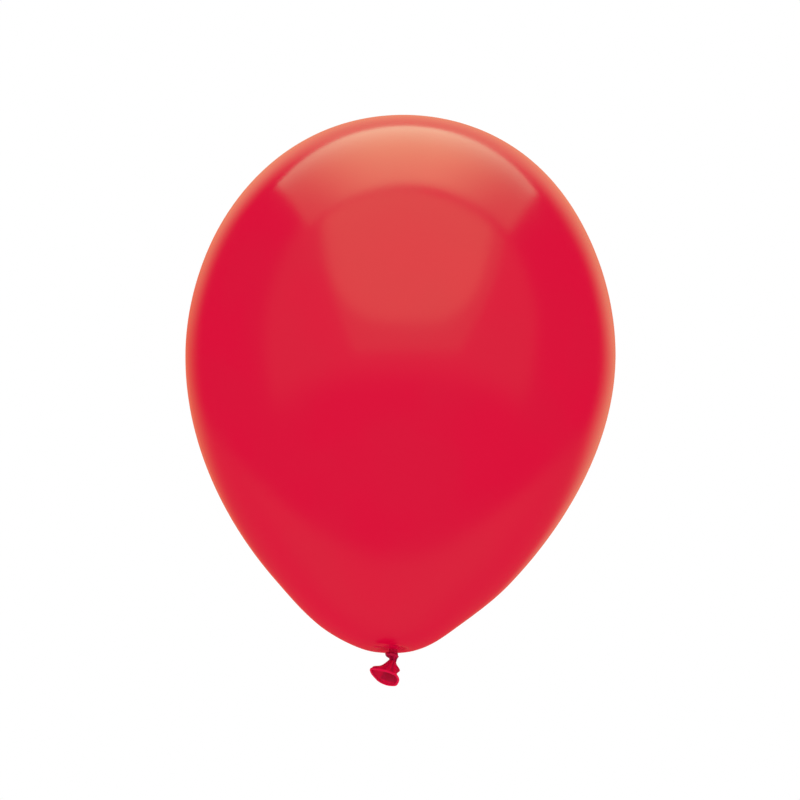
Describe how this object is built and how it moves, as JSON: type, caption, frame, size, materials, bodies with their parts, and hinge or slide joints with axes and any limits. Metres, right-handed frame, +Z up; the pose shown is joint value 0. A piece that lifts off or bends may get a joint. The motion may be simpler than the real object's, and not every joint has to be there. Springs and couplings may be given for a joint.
{
  "type": "latex balloon",
  "caption": "Round pear-shaped latex party balloon, blown up and closed by a knot, with a pleated neck, a knot that tilts and a short flared tail that swings and ends in a rolled lip.",
  "frame": {"origin": "on the balloon's axis at the waist of the neck, between the blown-up envelope and the knot, where a ribbon is tied", "axes": "+Z up along the axis, from the knot to the crown; -Y is the front; the tail hangs over to -X"},
  "size_m": [0.2899, 0.29, 0.3873],
  "materials": {
    "stretched_latex": "smooth, glossy stretched latex film, bright red",
    "gathered_latex": "glossy pleated latex, denser red",
    "slack_latex": "satin unstretched latex, deep crimson"
  },
  "bodies": {
    "envelope": {"envelope": "stretched_latex", "neck_gather": "gathered_latex", "neck_waist": "gathered_latex"},
    "knot": {"knot_core": "slack_latex", "knot_loop": "slack_latex"},
    "tail": {"tail_root": "slack_latex", "tail_sleeve": "slack_latex", "lip_bead": "slack_latex"}
  },
  "joints": [
    {"name": "knot_tilt", "type": "hinge", "parent": "envelope", "child": "knot", "pos_m": [0, 0, 0], "axis": [1, 0, 0], "range_deg": [-25, 25], "stiffness_Nm_per_rad": 0.0003},
    {"name": "tail_swing", "type": "hinge", "parent": "knot", "child": "tail", "pos_m": [0, 0, -0.0062], "axis": [0, 1, 0], "range_deg": [-70, 38], "stiffness_Nm_per_rad": 0.0002}
  ]
}
